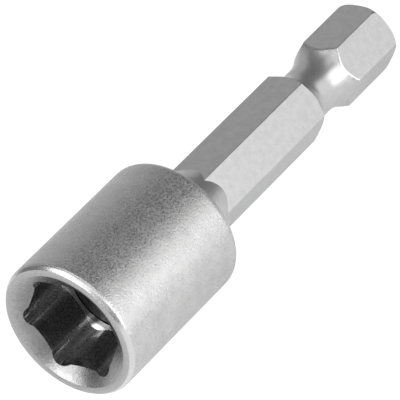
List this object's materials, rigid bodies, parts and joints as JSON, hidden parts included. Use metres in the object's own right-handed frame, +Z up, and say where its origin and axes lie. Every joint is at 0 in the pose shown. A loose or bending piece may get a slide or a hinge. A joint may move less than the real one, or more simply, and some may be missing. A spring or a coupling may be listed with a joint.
{
  "type": "magnetic nut setter",
  "caption": "Round socket sleeve with a lobed hex recess, lead-in funnel and disc magnet, pressed onto a grooved hex drive shank; drives hex-head screws and nuts from a bit chuck.",
  "frame": {"origin": "centre of the shank's end face", "axes": "+Y along the tool's axis, out of the shank's end; the socket's mouth faces -Y; +Z up, square to a flat of the shank and to a flat of the recess"},
  "size_m": [0.0136, 0.0476, 0.0136],
  "materials": {
    "sleeve_steel": "satin, sand-blasted and plated",
    "shank_steel": "satin, plated",
    "magnet_nickel": "nickel plated"
  },
  "bodies": {
    "root": {"socket_sleeve": "sleeve_steel", "hex_shank": "shank_steel", "magnet": "magnet_nickel"}
  },
  "joints": []
}
